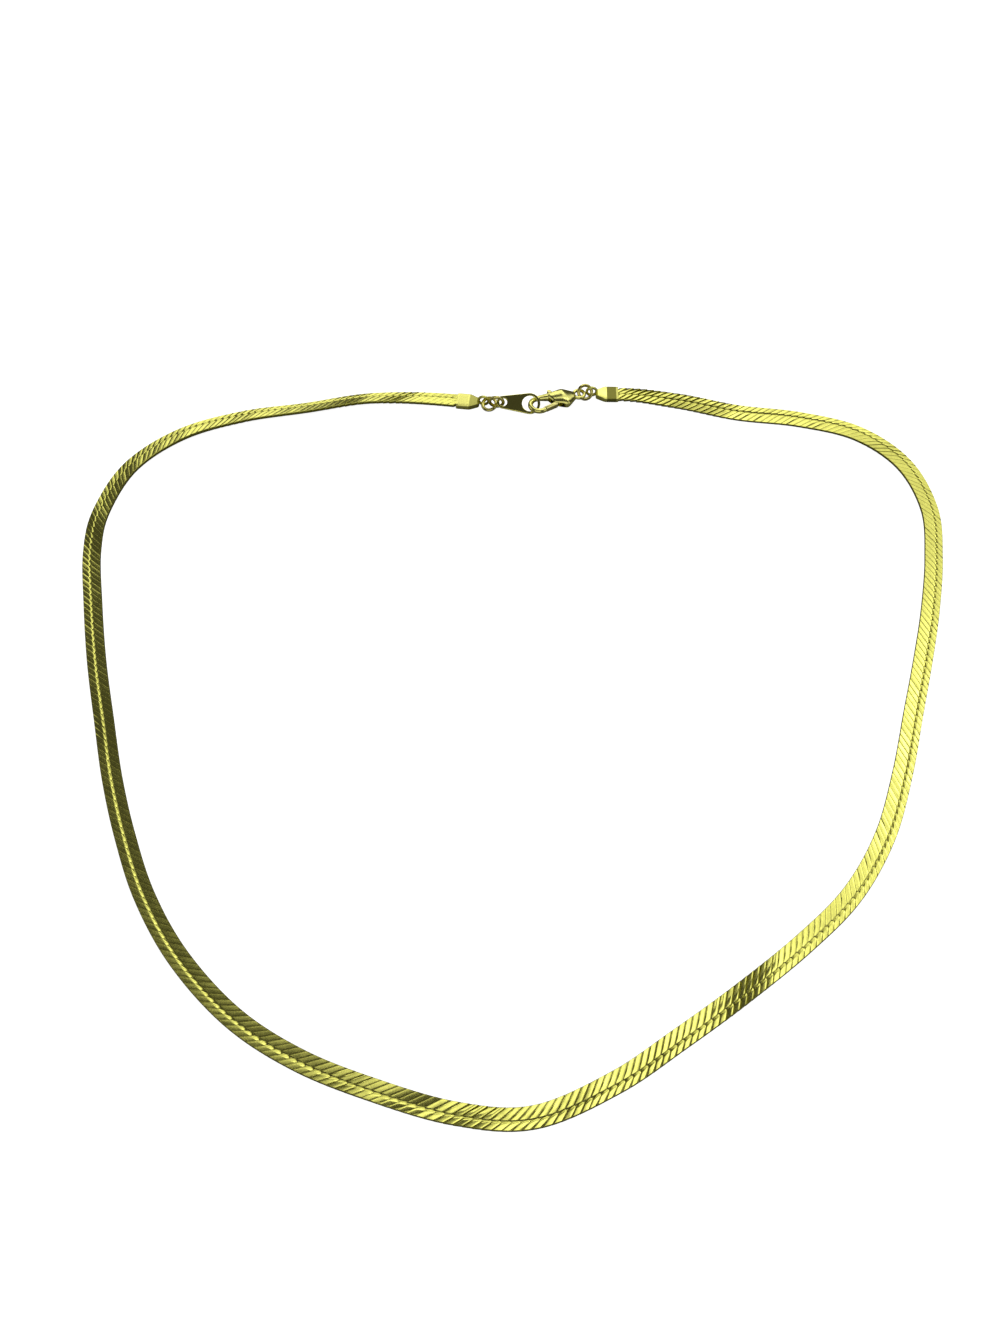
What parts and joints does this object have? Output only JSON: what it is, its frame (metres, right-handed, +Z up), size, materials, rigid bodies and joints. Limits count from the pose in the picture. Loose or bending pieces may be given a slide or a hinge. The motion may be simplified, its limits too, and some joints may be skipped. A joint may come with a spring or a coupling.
{
  "type": "herringbone chain necklace",
  "caption": "Flat herringbone chain necklace closed with a lobster claw clasp, worn round the neck; it lies as one loop on a flat surface.",
  "frame": {"origin": "Under the middle of the whole loop, at the height of the surface it lies on.", "axes": "+X to the picture's right, +Y away from the camera towards the clasp, +Z up."},
  "size_m": [0.1678, 0.1547, 0.0036],
  "materials": {
    "woven_gold": "polished gold-tone plating on pressed woven links",
    "cap_gold": "polished gold-tone plating",
    "ring_gold": "polished gold-tone plating on drawn wire",
    "tag_gold": "flat mirror-polished gold-tone plating",
    "clasp_gold": "polished gold-tone plating on a cast body",
    "lever_gold": "polished gold-tone plating"
  },
  "bodies": {
    "necklace": {"chain_band": "woven_gold", "end_cap_right": "cap_gold", "end_cap_left": "cap_gold", "jump_ring_right": "ring_gold", "jump_ring_left_outer": "ring_gold", "jump_ring_left_inner": "ring_gold", "tag_plate": "tag_gold", "clasp_body": "clasp_gold"},
    "lever": {"clasp_lever": "lever_gold"}
  },
  "joints": [
    {"name": "lever_hinge", "type": "hinge", "parent": "necklace", "child": "lever", "pos_m": [0.00922, 0.07275, 0.0013], "axis": [0, 0, -1], "range_deg": [0, 24], "stiffness_Nm_per_rad": 0.001, "springref_deg": -17.19}
  ]
}
